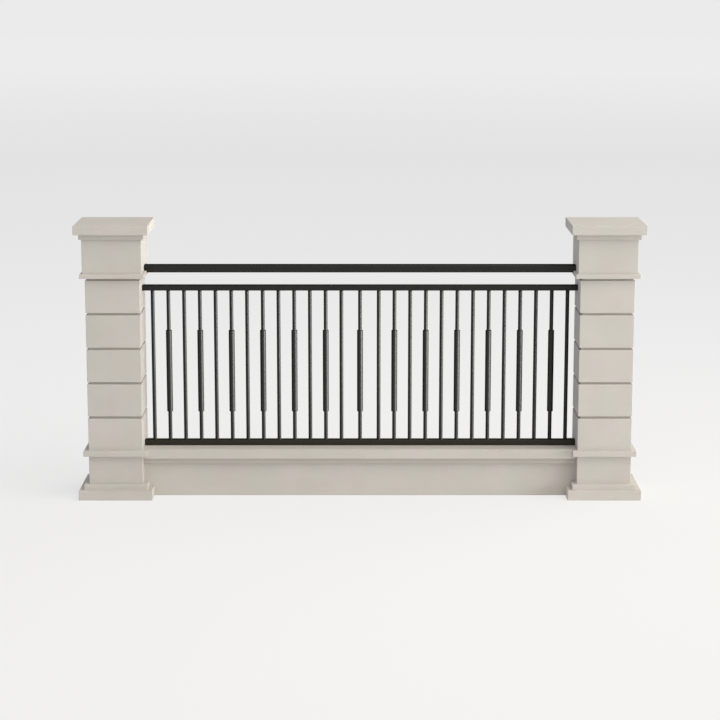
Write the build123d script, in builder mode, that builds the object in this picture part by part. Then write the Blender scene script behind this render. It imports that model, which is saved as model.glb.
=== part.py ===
from build123d import *
import os

# One bay of an iron fence: two stone piers, a low wall with a coping, a welded railing panel
# and a handrail.
# Millimetres, +X along the fence, +Z up, origin on the ground at the middle of the bay.

# Bay
pier_spacing = 2300

# Pier, widths of its square courses
shaft_width = 254
upper_die_width = 276
string_width = 300
plinth_width = 346
cap_width = 346

# Pier, its whole height and the heights of its courses from the ground up: the blocks share what is left
pier_height = 1300
plinth_height = 46
base_step_height = 25
pedestal_height = 135
lower_string_height = 25.5
block_count = 5
upper_string_height = 21
upper_die_height = 161
cap_bed_height = 24.5
cap_height = 43

# Stone edges: each block is cut back round its top as a channel joint, and edges that show have an arris
joint_height = 11
joint_depth = 10
arris = 2

# Low wall
wall_thickness = 137
wall_bed_thickness = 174
wall_bed_height = 26.5
coping_thickness = 216
coping_height = 46

# Railing panel
rail_depth = 38
bottom_rail_height = 26.5
top_rail_height = 25
top_rail_drop = 50
rail_edge_radius = 2
baluster_diameter = 18
baluster_pitch = 74
end_baluster_offset = 47
sleeve_diameter = 28
sleeve_length = 391
sleeve_rise = 136
sleeve_edge = 2

# Handrail
handrail_depth = 48
handrail_height = 35
handrail_lap = 9.5
handrail_edge_radius = 4

# Height of one block
lower_courses_height = plinth_height + base_step_height + pedestal_height + lower_string_height
upper_courses_height = upper_string_height + upper_die_height + cap_bed_height + cap_height
block_height = (pier_height - lower_courses_height - upper_courses_height) / block_count

# Levels of the pier's courses
base_step_level = plinth_height
pedestal_level = base_step_level + base_step_height
lower_string_level = pedestal_level + pedestal_height
shaft_level = lower_string_level + lower_string_height
upper_string_level = shaft_level + block_count * block_height
upper_die_level = upper_string_level + upper_string_height
cap_bed_level = upper_die_level + upper_die_height
cap_level = cap_bed_level + cap_bed_height

# Levels of the wall and the railing
coping_level = shaft_level - coping_height
wall_bed_level = coping_level - wall_bed_height
bottom_rail_level = shaft_level
bottom_rail_top = bottom_rail_level + bottom_rail_height
top_rail_level = upper_string_level - top_rail_drop - top_rail_height
sleeve_level = bottom_rail_top + sleeve_rise
handrail_level = upper_die_level - handrail_lap

# Inner faces of the left and right piers, as distances from the middle of the bay
pier_centre = pier_spacing / 2
plinth_face = pier_centre - plinth_width / 2
string_face = pier_centre - string_width / 2
shaft_face = pier_centre - shaft_width / 2
upper_die_face = pier_centre - upper_die_width / 2

os.makedirs("parts", exist_ok=True)


def save(piece, name):
    piece.part.label = name
    export_step(piece.part, f"parts/{name}.step")


# A plain square course of a pier, with small arrises on the edges that show
def course(centre, level, width, height):
    with BuildPart() as stone:
        with BuildSketch(Plane.XY.offset(level)):
            with Locations((centre, 0)):
                Rectangle(width, width)
        extrude(amount=height)
        upright_edges = stone.edges().filter_by(Axis.Z)
        top_edges = stone.faces().sort_by(Axis.Z)[-1].edges()
        chamfer(upright_edges + top_edges, length=arris)
    return stone


# One block of the shaft: a square stone with a narrower neck, which leaves a channel under the next block
def shaft_block(centre, level):
    face_height = block_height - joint_height
    neck_width = shaft_width - 2 * joint_depth
    with BuildPart() as block:
        with BuildSketch(Plane.XY.offset(level)):
            with Locations((centre, 0)):
                Rectangle(shaft_width, shaft_width)
        extrude(amount=face_height)
        upright_edges = block.edges().filter_by(Axis.Z)
        top_edges = block.faces().sort_by(Axis.Z)[-1].edges()
        chamfer(upright_edges + top_edges, length=arris)
        with BuildSketch(Plane.XY.offset(level + face_height)):
            with Locations((centre, 0)):
                Rectangle(neck_width, neck_width)
        extrude(amount=joint_height)
    return block


# The two piers, course by course
for side, centre in (("left", -pier_centre), ("right", pier_centre)):
    save(course(centre, 0, plinth_width, plinth_height), f"{side}_plinth")
    save(course(centre, base_step_level, string_width, base_step_height), f"{side}_base_step")
    save(course(centre, pedestal_level, shaft_width, pedestal_height), f"{side}_pedestal")
    save(course(centre, lower_string_level, string_width, lower_string_height), f"{side}_lower_string")
    for number in range(block_count):
        save(shaft_block(centre, shaft_level + number * block_height), f"{side}_block_{number + 1}")
    save(course(centre, upper_string_level, string_width, upper_string_height), f"{side}_upper_string")
    save(course(centre, upper_die_level, upper_die_width, upper_die_height), f"{side}_upper_die")
    save(course(centre, cap_bed_level, string_width, cap_bed_height), f"{side}_cap_bed")
    save(course(centre, cap_level, cap_width, cap_height), f"{side}_cap")


# A wall course from half of its front outline, stepped in where the pier's wider courses stand in its way,
# with small arrises on its long edges
def stepped_course(steps, thickness):
    with BuildPart() as stone:
        with BuildSketch(Plane.XZ):
            with BuildLine():
                Polyline((0, steps[0][1]), *steps, (0, steps[-1][1]), close=True)
            make_face()
            mirror(about=Plane.YZ)
        extrude(amount=thickness / 2, both=True)
        level_faces = stone.faces().sort_by(Axis.Z)
        long_edges = (level_faces[0].edges() + level_faces[-1].edges()).filter_by(Axis.X)
        chamfer(long_edges, length=arris)
    return stone


# The low wall, its ends cut round the plinth and the base step of each pier
wall_steps = [
    (plinth_face, 0),
    (plinth_face, base_step_level),
    (string_face, base_step_level),
    (string_face, pedestal_level),
    (shaft_face, pedestal_level),
    (shaft_face, wall_bed_level),
]
save(stepped_course(wall_steps, wall_thickness), "low_wall")

# The bed course under the coping
wall_bed_steps = [(shaft_face, wall_bed_level), (shaft_face, coping_level)]
save(stepped_course(wall_bed_steps, wall_bed_thickness), "wall_bed")

# The coping, level with the lower string courses and cut round them
coping_steps = [
    (shaft_face, coping_level),
    (shaft_face, lower_string_level),
    (string_face, lower_string_level),
    (string_face, shaft_level),
]
save(stepped_course(coping_steps, coping_thickness), "wall_coping")

# The railing panel: two rails from pier to pier and round balusters between them, set out from the ends
# with one at the middle, and a sleeve on the middle one and on every second one to its sides
side_span = shaft_face - end_baluster_offset
side_count = int(side_span / baluster_pitch)
side_places = [side_span - (side_count - number) * baluster_pitch for number in range(1, side_count + 1)]
sleeved_places = [0]
for place in side_places[1::2]:
    sleeved_places += [-place, place]
baluster_places = [0]
for place in side_places:
    baluster_places += [-place, place]

with BuildPart() as railing_panel:
    for level, height in ((bottom_rail_level, bottom_rail_height), (top_rail_level, top_rail_height)):
        with BuildSketch(Plane.YZ):
            with Locations((0, level + height / 2)):
                RectangleRounded(rail_depth, height, rail_edge_radius)
        extrude(amount=shaft_face, both=True)
    with BuildSketch(Plane.XY.offset(bottom_rail_level + bottom_rail_height / 2)):
        with Locations(*[(place, 0) for place in baluster_places]):
            Circle(baluster_diameter / 2)
    extrude(amount=top_rail_level + top_rail_height / 2 - bottom_rail_level - bottom_rail_height / 2)
    with BuildSketch(Plane.XY.offset(sleeve_level)):
        with Locations(*[(place, 0) for place in sleeved_places]):
            Circle(sleeve_diameter / 2)
    extrude(amount=sleeve_length)
    sleeve_rims = railing_panel.edges().filter_by(GeomType.CIRCLE)
    sleeve_rims = sleeve_rims.filter_by(lambda rim: rim.radius > baluster_diameter / 2)
    chamfer(sleeve_rims, length=sleeve_edge)
save(railing_panel, "railing_panel")

# The handrail, its ends against the upper dies and notched over the upper string courses
with BuildPart() as handrail:
    with BuildSketch(Plane.YZ):
        with Locations((0, handrail_level + handrail_height / 2)):
            RectangleRounded(handrail_depth, handrail_height, handrail_edge_radius)
    extrude(amount=upper_die_face, both=True)
    with BuildSketch(Plane.XZ):
        with BuildLine():
            Polyline(
                (string_face, handrail_level),
                (upper_die_face, handrail_level),
                (upper_die_face, upper_die_level),
                (string_face, upper_die_level),
                close=True,
            )
        make_face()
        mirror(about=Plane.YZ)
    extrude(amount=handrail_depth, both=True, mode=Mode.SUBTRACT)
save(handrail, "handrail")
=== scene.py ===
import math

import bmesh
import bpy
from mathutils import Euler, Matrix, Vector


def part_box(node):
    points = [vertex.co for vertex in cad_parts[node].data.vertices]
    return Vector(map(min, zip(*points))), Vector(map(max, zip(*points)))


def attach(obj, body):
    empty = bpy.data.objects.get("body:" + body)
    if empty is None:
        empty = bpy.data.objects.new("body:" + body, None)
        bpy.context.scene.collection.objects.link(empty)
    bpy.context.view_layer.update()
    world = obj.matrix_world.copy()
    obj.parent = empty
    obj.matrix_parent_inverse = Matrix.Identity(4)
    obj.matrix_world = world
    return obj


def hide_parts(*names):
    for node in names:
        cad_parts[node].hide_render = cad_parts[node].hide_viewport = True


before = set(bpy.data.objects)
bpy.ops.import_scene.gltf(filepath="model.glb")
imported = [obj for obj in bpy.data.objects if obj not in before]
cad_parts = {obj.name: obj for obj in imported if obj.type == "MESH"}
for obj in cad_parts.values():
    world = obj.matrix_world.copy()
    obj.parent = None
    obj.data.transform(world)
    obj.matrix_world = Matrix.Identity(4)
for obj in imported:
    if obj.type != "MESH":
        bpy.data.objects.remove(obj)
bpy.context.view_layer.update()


# Plinths and base steps: the two lowest courses of each pier, a broad slab with a narrower one on it.
# They are sawn from pale beige limestone and bedded flat, with small arrises on the edges that show.
# The stone is softly clouded, a little rosy here and a little green there, with fine grain and a few pores.
first_layers = {"left": 0, "right": 20}
layer_shift = Vector((3.7, 1.9, 2.3))
plinth_layer = 1
base_step_layer = 18
stone_dark = (0.507, 0.459, 0.413, 1)
stone_pale = (0.619, 0.568, 0.523, 1)
stone_green = (0.53, 0.535, 0.465, 1)
pore_colour = (0.36, 0.31, 0.25, 1)
tone_stops = [(0.2, 0), (0.8, 1)]
green_stops = [(0.35, 0), (0.65, 0.45)]
pore_stops = [(0.05, 1), (0.16, 0)]
cloud_share = 0.6
streak_share = 0.2
grain_share = 0.2
pore_share = 0.35
stone_roughness = 0.78
grain_roughness = 0.12
grain_height = 0.4
stone_gloss = 0.3


class Shade:
    """A socket of a node tree. Sums and products of it add Math nodes, and node() adds any other node."""

    def __init__(self, tree, socket=None):
        self.tree = tree
        self.socket = socket

    def node(self, kind, settings, sockets, output=0):
        made = self.tree.nodes.new("ShaderNode" + kind)
        for name, value in settings.items():
            if name == "stops":
                for place, _ in value[2:]:
                    made.color_ramp.elements.new(place)
                for stop, (place, level) in zip(made.color_ramp.elements, value):
                    stop.position = place
                    stop.color = (level, level, level, 1)
            else:
                setattr(made, name, value)
        for name, value in sockets.items():
            if isinstance(value, Shade):
                self.tree.links.new(value.socket, made.inputs[name])
            else:
                made.inputs[name].default_value = value
        return Shade(self.tree, made.outputs[output]) if made.outputs else None

    def math(self, operation, first, second):
        return self.node("Math", {"operation": operation}, {0: first, 1: second})

    def __add__(self, other):
        return self.math("ADD", self, other)

    def __sub__(self, other):
        return self.math("SUBTRACT", self, other)

    def __rsub__(self, other):
        return self.math("SUBTRACT", other, self)

    def __mul__(self, other):
        return self.math("MULTIPLY", self, other)

    __radd__ = __add__
    __rmul__ = __mul__

    def blend_to(self, first, second):
        """A colour that goes from first to second as this value goes from 0 to 1."""
        return self.node("Mix", {"data_type": "RGBA"}, {"Factor": self, 6: first, 7: second}, 2)

    def feed(self, shader, socket):
        self.tree.links.new(self.socket, shader.inputs[socket])


def new_finish(name):
    finish = bpy.data.materials.new(name)
    finish.use_nodes = True
    shader = finish.node_tree.nodes["Principled BSDF"]
    return finish, shader, Shade(finish.node_tree)


def limestone(name, quarry_layer, painted_shade=None):
    finish, shader, start = new_finish(name)
    place = start.node("TexCoord", {}, {}, "Object")
    cut = start.node("Mapping", {}, {"Vector": place, "Location": layer_shift * quarry_layer})
    clouds = start.node("TexNoise", {}, {"Vector": cut, "Scale": 4.5, "Detail": 3, "Roughness": 0.55})
    tilt = {"Vector": cut, "Rotation": (0.3, 0.5, 0), "Scale": (2.5, 2.5, 5)}
    drift = start.node("Mapping", {}, tilt)
    streaks = start.node("TexNoise", {}, {"Vector": drift, "Scale": 1.6, "Detail": 4, "Distortion": 0.6})
    grain = start.node("TexNoise", {}, {"Vector": cut, "Scale": 260, "Detail": 2})
    pores = start.node("TexVoronoi", {}, {"Vector": cut, "Scale": 95}, "Distance")
    pores = start.node("ValToRGB", {"stops": pore_stops}, {"Fac": pores})
    tone = clouds * cloud_share + streaks * streak_share + grain * grain_share
    tone = start.node("ValToRGB", {"stops": tone_stops}, {"Fac": tone})
    body = tone.blend_to(stone_dark, stone_pale)
    green = start.node("TexNoise", {}, {"Vector": cut, "Scale": 7, "Detail": 2})
    green = start.node("ValToRGB", {"stops": green_stops}, {"Fac": green})
    body = green.blend_to(body, stone_green)
    body = (pores * pore_share).blend_to(body, pore_colour)
    # Painted shade: a darker stone colour laid over the body where a course lies in shade.
    if painted_shade:
        body = painted_shade(start, place, clouds).blend_to(body, painted_shade_colour)
    body.feed(shader, "Base Color")
    rough = stone_roughness + grain * grain_roughness
    rough.feed(shader, "Roughness")
    relief = grain * grain_height - pores
    relief = start.node("Bump", {}, {"Height": relief, "Strength": 0.5, "Distance": 0.0006})
    relief.feed(shader, "Normal")
    shader.inputs["Specular IOR Level"].default_value = stone_gloss
    return finish


def lay(node, quarry_layer, painted_shade=None):
    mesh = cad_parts[node].data
    mesh.materials.clear()
    mesh.materials.append(limestone(node + "_stone", quarry_layer, painted_shade))


for side, first_layer in first_layers.items():
    lay(f"{side}_plinth", first_layer + plinth_layer)
    lay(f"{side}_base_step", first_layer + base_step_layer)


# Low wall: one long run of the same limestone between the piers, its ends cut round their lowest courses.
# Its face is rubbed smooth, and the joints between its stones are too fine to show.
low_wall_layer = 11
lay("low_wall", low_wall_layer)


# Pedestals and lower string courses: a plain square stone and a thin slab that stands out all round it.
# They are laid on the base steps and carry the shafts of the piers.
pedestal_layer = 3
lower_string_layer = 4
for side, first_layer in first_layers.items():
    lay(f"{side}_pedestal", first_layer + pedestal_layer)
    lay(f"{side}_lower_string", first_layer + lower_string_layer)


# Bed course and coping: a thin course of limestone on the low wall and a wider slab that sheds the rain.
# Both are bedded in mortar, and the coping ends against the lower string courses.
# The bed course's colour is darkened with painted shade, where the coping overhangs it and keeps the light
# off.
wall_bed_layer = 12
coping_layer = 13
painted_shade_colour = (0.3, 0.26, 0.215, 1)
least_bed_shade = 0.05
bed_shade_change = 0.18


# Painted shade on the bed course under the coping, clouded a little.
def painted_bed_shade(start, place, clouds):
    return least_bed_shade + clouds * bed_shade_change


lay("wall_bed", wall_bed_layer, painted_bed_shade)
lay("wall_coping", coping_layer)


# Shaft blocks: five square limestone blocks to each pier, every one cut back round its top.
# The channel left under the next block is in shade, and its colour is darkened further with painted shade.
block_count = 5
first_block_layer = 5
joint_height = 0.011
joint_edge_share = 0.002
least_channel_shade = 0.2
channel_shade_change = 0.4
shaft_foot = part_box("left_block_1")[0].z
block_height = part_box("left_block_2")[0].z - shaft_foot


# Painted shade in the channel at the top of each block, clouded a little.
def painted_channel_shade(start, place, clouds):
    level = start.node("SeparateXYZ", {}, {"Vector": place}, "Z")
    rise = (level - shaft_foot) * (1 / block_height)
    share = start.node("Math", {"operation": "FRACT"}, {0: rise})
    foot_share = 1 - joint_height / block_height
    reach = {"From Min": foot_share - joint_edge_share, "From Max": foot_share + joint_edge_share}
    in_joint = start.node("MapRange", {}, {"Value": share, **reach})
    return in_joint * (least_channel_shade + clouds * channel_shade_change)


for side, first_layer in first_layers.items():
    for block in range(block_count):
        lay(f"{side}_block_{block + 1}", first_layer + first_block_layer + block, painted_channel_shade)


# Bottom and top rails: flat iron bars that run from pier to pier and end against the shafts.
# Their long edges are rounded, and both are brushed with a satin black paint.
# The bottom rail lies on the coping, and rain has splashed a little stone dust up on it.
paint_dark = (0.031, 0.031, 0.03, 1)
paint_pale = (0.041, 0.041, 0.039, 1)
splash_colour = (0.055, 0.052, 0.04, 1)
splash_rise = 0.02
splash_share = 0.8
paint_roughness = 0.47
brush_roughness = 0.1
ripple_depth = 0.00005
gleam_tint = (0.15, 0.15, 0.15, 1)
bottom_rail_height = 0.0265
top_rail_height = 0.025
rail_edge_radius = 0.002
edge_steps = 4
panel_low, panel_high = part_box("railing_panel")
bottom_rail_top = panel_low.z + bottom_rail_height
top_rail_foot = panel_high.z - top_rail_height


def black_paint(name):
    finish, shader, start = new_finish(name)
    place = start.node("TexCoord", {}, {}, "Object")
    brush = start.node("TexNoise", {}, {"Vector": place, "Scale": 30, "Detail": 3})
    coat = brush.blend_to(paint_dark, paint_pale)
    level = start.node("SeparateXYZ", {}, {"Vector": place}, "Z")
    reach = {"From Min": bottom_rail_top + splash_rise, "From Max": bottom_rail_top}
    splash = start.node("MapRange", {}, {"Value": level, **reach}) * splash_share
    coat = splash.blend_to(coat, splash_colour)
    coat.feed(shader, "Base Color")
    rough = paint_roughness + brush * brush_roughness
    rough.feed(shader, "Roughness")
    ripple = start.node("TexNoise", {}, {"Vector": place, "Scale": 220, "Detail": 2})
    ripple = start.node("Bump", {}, {"Height": ripple, "Strength": 0.3, "Distance": ripple_depth})
    ripple.feed(shader, "Normal")
    shader.inputs["Metallic"].default_value = 1
    shader.inputs["Specular Tint"].default_value = gleam_tint
    return finish


iron_paint = black_paint("iron_paint")


def iron_piece(name, shape, node):
    for face in shape.faces:
        face.smooth = True
    mesh = bpy.data.meshes.new(name)
    shape.to_mesh(mesh)
    shape.free()
    mesh.materials.append(iron_paint)
    piece = bpy.data.objects.new(name, mesh)
    bpy.context.scene.collection.objects.link(piece)
    piece.modifiers.new("even_faces", "WEIGHTED_NORMAL")
    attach(piece, "root")
    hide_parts(node)


def round_edges(shape, edges, radius):
    bmesh.ops.bevel(
        shape,
        geom=edges,
        offset=radius,
        segments=edge_steps,
        profile=0.5,
        affect="EDGES",
        material=-1,
    )


def along_fence(edge):
    first, second = edge.verts
    way = first.co - second.co
    return abs(way.x) > abs(way.y) + abs(way.z)


def flat_rail(name, low, high):
    shape = bmesh.new()
    bmesh.ops.create_cube(shape, size=1)
    bmesh.ops.scale(shape, vec=high - low, verts=shape.verts)
    bmesh.ops.translate(shape, vec=(low + high) / 2, verts=shape.verts)
    round_edges(shape, [edge for edge in shape.edges if along_fence(edge)], rail_edge_radius)
    iron_piece(name, shape, "railing_panel")


flat_rail("bottom_rail", panel_low, Vector((panel_high.x, panel_high.y, bottom_rail_top)))
flat_rail("top_rail", Vector((panel_low.x, panel_low.y, top_rail_foot)), panel_high)


# Balusters: round iron bars between the rails, set out from the ends of the panel with one at its middle.
# Each is let a little way into both rails.
bar_sides = 32
baluster_radius = 0.009
baluster_pitch = 0.074
end_baluster_offset = 0.047
side_span = panel_high.x - end_baluster_offset
side_count = int(side_span / baluster_pitch)
side_places = [side_span - number * baluster_pitch for number in range(side_count)][::-1]
baluster_places = [0]
for place in side_places:
    baluster_places += [-place, place]


def round_bar(shape, place, radius, foot, head):
    made = bmesh.ops.create_cone(
        shape,
        segments=bar_sides,
        radius1=radius,
        radius2=radius,
        depth=head - foot,
        cap_ends=True,
    )
    bmesh.ops.translate(shape, vec=(place, 0, (foot + head) / 2), verts=made["verts"])


bars = bmesh.new()
bar_foot = bottom_rail_top - rail_edge_radius
bar_head = top_rail_foot + rail_edge_radius
for place in baluster_places:
    round_bar(bars, place, baluster_radius, bar_foot, bar_head)
iron_piece("balusters", bars, "railing_panel")


# Sleeves: short lengths of thicker round tube on the middle baluster and on every second one to its sides.
# Each is slid on before the bar is welded in, and its ends are turned to a soft edge.
sleeve_radius = 0.014
sleeve_length = 0.391
sleeve_rise = 0.136
sleeve_edge = 0.002
sleeve_foot = bottom_rail_top + sleeve_rise
sleeve_head = sleeve_foot + sleeve_length
sleeve_places = [0]
for place in side_places[1::2]:
    sleeve_places += [-place, place]


def turned_ring(shape, place, outline):
    """A ring round a baluster: a closed outline of (radius, height) pairs, spun about the bar's own line."""
    corners = [shape.verts.new((place + radius, 0, height)) for radius, height in outline]
    edges = [shape.edges.new(pair) for pair in zip(corners, corners[1:] + corners[:1])]
    bmesh.ops.spin(
        shape,
        geom=corners + edges,
        cent=(place, 0, 0),
        axis=(0, 0, 1),
        angle=math.tau,
        steps=bar_sides,
        use_merge=True,
    )


def soft_corner(radius, height, size, first_angle):
    """Points on a quarter of a circle of this size, whose middle is at this radius and height."""
    angles = [first_angle + math.pi / 2 * step / edge_steps for step in range(edge_steps + 1)]
    return [(radius + size * math.cos(angle), height + size * math.sin(angle)) for angle in angles]


tubes = bmesh.new()
edge_middle = sleeve_radius - sleeve_edge
sleeve_outline = [(baluster_radius, sleeve_foot)]
sleeve_outline += soft_corner(edge_middle, sleeve_foot + sleeve_edge, sleeve_edge, -math.pi / 2)
sleeve_outline += soft_corner(edge_middle, sleeve_head - sleeve_edge, sleeve_edge, 0)
sleeve_outline += [(baluster_radius, sleeve_head)]
for place in sleeve_places:
    turned_ring(tubes, place, sleeve_outline)
bmesh.ops.recalc_face_normals(tubes, faces=tubes.faces)
iron_piece("sleeves", tubes, "railing_panel")


# Weld beads: a small fillet of weld runs round the foot and the head of every baluster.
# It is ground even and painted over with the bars.
bead_size = 0.003
bead_hollow = 0.0012
bead_outline = [(0, 0), (bead_size, 0), (bead_hollow, bead_hollow), (0, bead_size)]
foot_bead = [(baluster_radius + out, bottom_rail_top + up) for out, up in bead_outline]
head_bead = [(baluster_radius + out, top_rail_foot - up) for out, up in bead_outline]
beads = bmesh.new()
for place in baluster_places:
    turned_ring(beads, place, foot_bead)
    turned_ring(beads, place, head_bead)
bmesh.ops.recalc_face_normals(beads, faces=beads.faces)
iron_piece("weld_beads", beads, "railing_panel")


# Upper string courses: a thin slab of limestone on the top block of each shaft, wider than the shaft.
# The ends of the handrail are notched over them.
upper_string_layer = 10
for side, first_layer in first_layers.items():
    lay(f"{side}_upper_string", first_layer + upper_string_layer)


# Handrail: one heavier iron bar from pier to pier, with rounded edges under the same black paint.
# Its ends are cut away underneath to lie on the string courses, and they stop against the upper dies.
handrail_edge_radius = 0.004
rail_low, rail_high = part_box("handrail")
notch_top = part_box("right_upper_string")[1].z
notch_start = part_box("right_upper_string")[0].x
half_outline = [
    (notch_start, rail_low.z),
    (notch_start, notch_top),
    (rail_high.x, notch_top),
    (rail_high.x, rail_high.z),
]
front_outline = half_outline + [(-x, z) for x, z in reversed(half_outline)]
bar = bmesh.new()
front = bar.faces.new([bar.verts.new((x, rail_low.y, z)) for x, z in front_outline])
back = bmesh.ops.extrude_face_region(bar, geom=[front])
back_corners = [item for item in back["geom"] if isinstance(item, bmesh.types.BMVert)]
bmesh.ops.translate(bar, vec=(0, rail_high.y - rail_low.y, 0), verts=back_corners)
bmesh.ops.recalc_face_normals(bar, faces=bar.faces)
long_edges = [edge for edge in bar.edges if along_fence(edge) and edge.calc_length() > rail_high.x]
round_edges(bar, long_edges, handrail_edge_radius)
iron_piece("handrail_bar", bar, "handrail")


# Upper dies, cap beds and caps: a square stone, a thin bed course and a broad plain slab close each pier.
# They are the same limestone as the shaft, and the cap's weight holds the courses under it.
upper_die_layer = 14
cap_bed_layer = 15
cap_layer = 16
for side, first_layer in first_layers.items():
    lay(f"{side}_upper_die", first_layer + upper_die_layer)
    lay(f"{side}_cap_bed", first_layer + cap_bed_layer)
    lay(f"{side}_cap", first_layer + cap_layer)


# Studio floor: a wide pale sheet under the fence, which fades a little with distance.
# It holds a faint shadow, carries a warm pool of painted light in its glow to the right, and throws light
# back up on the stone.
floor_radius = 60
floor_sides = 64
fade_reach = 40
glow_stops = [(0, 0.9), (0.085, 0.875), (0.215, 0.805), (0.44, 0.775), (0.72, 0.82), (0.95, 0.85)]
shadow_stops = [(0, 0.34), (0.05, 0.3), (0.2, 0.06), (1, 0.04)]
lit_pool_place = (2.5, -2, 0)
lit_pool_reach = 5
plain_tint = (1, 1, 1, 1)
lit_pool_tint = (1.04, 1.015, 0.985, 1)
sheet_colour = (0.88, 0.88, 0.87, 1)
bounce_colour = (0.8, 0.8, 0.79, 1)
floor_mesh = bpy.data.meshes.new("studio_floor")
sheet = bmesh.new()
bmesh.ops.create_circle(sheet, cap_ends=True, segments=floor_sides, radius=floor_radius)
sheet.to_mesh(floor_mesh)
sheet.free()
floor = bpy.data.objects.new("studio_floor", floor_mesh)
bpy.context.scene.collection.objects.link(floor)


def seen_directly(start):
    rays = ("Is Camera Ray", "Is Glossy Ray", "Is Transmission Ray")
    camera, gloss, glass = [start.node("LightPath", {}, {}, ray) for ray in rays]
    return camera + gloss + glass


floor_finish = bpy.data.materials.new("studio_floor")
floor_finish.use_nodes = True
floor_finish.node_tree.nodes.clear()
start = Shade(floor_finish.node_tree)
place = start.node("TexCoord", {}, {}, "Object")
away = start.node("VectorMath", {"operation": "LENGTH"}, {0: place}, "Value")
fade = start.node("MapRange", {}, {"Value": away, "From Min": 0, "From Max": fade_reach})
level = start.node("ValToRGB", {"stops": glow_stops}, {"Fac": fade})
# Painted light: the glow is tinted warmer round a spot to the right of the fence, as if the lamps lit the
# floor there.
lit_pool_distance = start.node("VectorMath", {"operation": "DISTANCE"}, {0: place, 1: lit_pool_place}, "Value")
lit_pool_share = start.node("MapRange", {}, {"Value": lit_pool_distance, "From Min": lit_pool_reach, "From Max": 0})
tint = lit_pool_share.blend_to(plain_tint, lit_pool_tint)
level = start.node("VectorMath", {"operation": "MULTIPLY"}, {0: level, 1: tint})
glow = start.node("Emission", {}, {"Color": level})
sheet_seen = start.node("BsdfDiffuse", {}, {"Color": sheet_colour})
sheet_bounce = start.node("BsdfDiffuse", {}, {"Color": bounce_colour})
shadow_share = start.node("ValToRGB", {"stops": shadow_stops}, {"Fac": fade})
seen = start.node("MixShader", {}, {0: shadow_share, 1: glow, 2: sheet_seen})
whole = start.node("MixShader", {}, {0: seen_directly(start), 1: sheet_bounce, 2: seen})
start.node("OutputMaterial", {}, {"Surface": whole})
floor_mesh.materials.append(floor_finish)


# Studio air: soft light from all round, and a pale backdrop beyond the floor.
# It is brightest from the front, dimmer from behind and cool from the left.
front_air = (0.657, 0.638, 0.617, 1)
back_air = (0.45, 0.44, 0.43, 1)
left_tint = (0.86, 1, 1.27, 1)
backdrop_colour = (0.83, 0.83, 0.83, 1)
behind_share = 0.6
world = bpy.data.worlds.new("studio_air")
bpy.context.scene.world = world
world.use_nodes = True
world.node_tree.nodes.clear()
start = Shade(world.node_tree)
seen = start.node("Background", {}, {"Color": backdrop_colour})
way = start.node("TexCoord", {}, {}, "Generated")
along = start.node("SeparateXYZ", {}, {"Vector": way}, "X")
across = start.node("SeparateXYZ", {}, {"Vector": way}, "Y")
behind = start.node("MapRange", {}, {"Value": across, "From Min": -behind_share, "From Max": behind_share})
leftward = start.node("MapRange", {}, {"Value": along, "From Min": 0, "From Max": -1})
soft_light = behind.blend_to(front_air, back_air)
cool = leftward.blend_to(plain_tint, left_tint)
soft_light = start.node("VectorMath", {"operation": "MULTIPLY"}, {0: soft_light, 1: cool})
ambient = start.node("Background", {}, {"Color": soft_light})
whole = start.node("MixShader", {}, {0: seen_directly(start), 1: ambient, 2: seen})
start.node("OutputWorld", {}, {"Surface": whole})


# Studio lamps: a long low wall of soft boxes to the right of the fence, and a higher one in front of it.
# They light the stones and the flat rails from one side and leave the other in soft shade.
# A low strip, seen in reflections alone, draws the bright line down the right side of every round bar.
lamp_aim = Vector((0, 0, 0.6))


def soft_box(name, turn, climb, distance, width, height, power, colour):
    """A lamp aimed at the fence, turned this far to the right of its front and this far above the level."""
    way = Vector((0, -1, 0))
    way.rotate(Euler((math.radians(-climb), 0, math.radians(turn))))
    lamp = bpy.data.lights.new(name, "AREA")
    lamp.shape = "RECTANGLE"
    lamp.size = width
    lamp.size_y = height
    lamp.energy = power
    lamp.color = colour
    box = bpy.data.objects.new(name, lamp)
    box.location = lamp_aim + way * distance
    box.rotation_euler = way.to_track_quat("Z", "Y").to_euler()
    bpy.context.scene.collection.objects.link(box)
    return box


def leave_out(box, names):
    """Lets a lamp light everything but these pieces."""
    group = bpy.data.collections.new("not_in_" + box.name)
    for name in names:
        group.objects.link(bpy.data.objects[name])
    for item in group.collection_objects:
        item.light_linking.link_state = "EXCLUDE"
    box.light_linking.receiver_collection = group


wall_size = {"climb": 7, "distance": 45, "width": 31, "height": 11}
high_size = {"climb": 55, "distance": 9, "width": 11.2, "height": 3.9}
strip_size = {"climb": -2.9, "distance": 6, "width": 3, "height": 0.6}
key_box = soft_box("key_soft_box", turn=68, power=9850, colour=(0.94, 0.97, 1), **wall_size)
side_box = soft_box("side_soft_box", turn=126, power=9500, colour=(0.97, 0.98, 1), **wall_size)
high_box = soft_box("high_soft_box", turn=52, power=450, colour=(1, 0.975, 0.9), **high_size)
strip = soft_box("bar_strip", turn=70, power=1180, colour=(1, 1, 1), **strip_size)
strip.visible_diffuse = False
leave_out(strip, ("bottom_rail", "top_rail", "handrail_bar"))
for box in (key_box, side_box, high_box):
    leave_out(box, ("balusters", "sleeves", "weld_beads"))


# Camera: straight in front of the middle of the fence and about twice as high, with a long lens.
# It looks down a little, so the tops of the coping and the string courses show as thin pale lines.
lens_length = 107.96
film_width = 36
eye_place = (0, -10.04, 2.522)
look_down = 10.612
view = bpy.data.cameras.new("view")
view.lens = lens_length
view.sensor_width = film_width
eye = bpy.data.objects.new("view", view)
eye.location = eye_place
eye.rotation_euler = (math.pi / 2 - math.radians(look_down), 0, 0)
bpy.context.scene.collection.objects.link(eye)
bpy.context.scene.camera = eye
bpy.context.scene.view_settings.view_transform = "Standard"
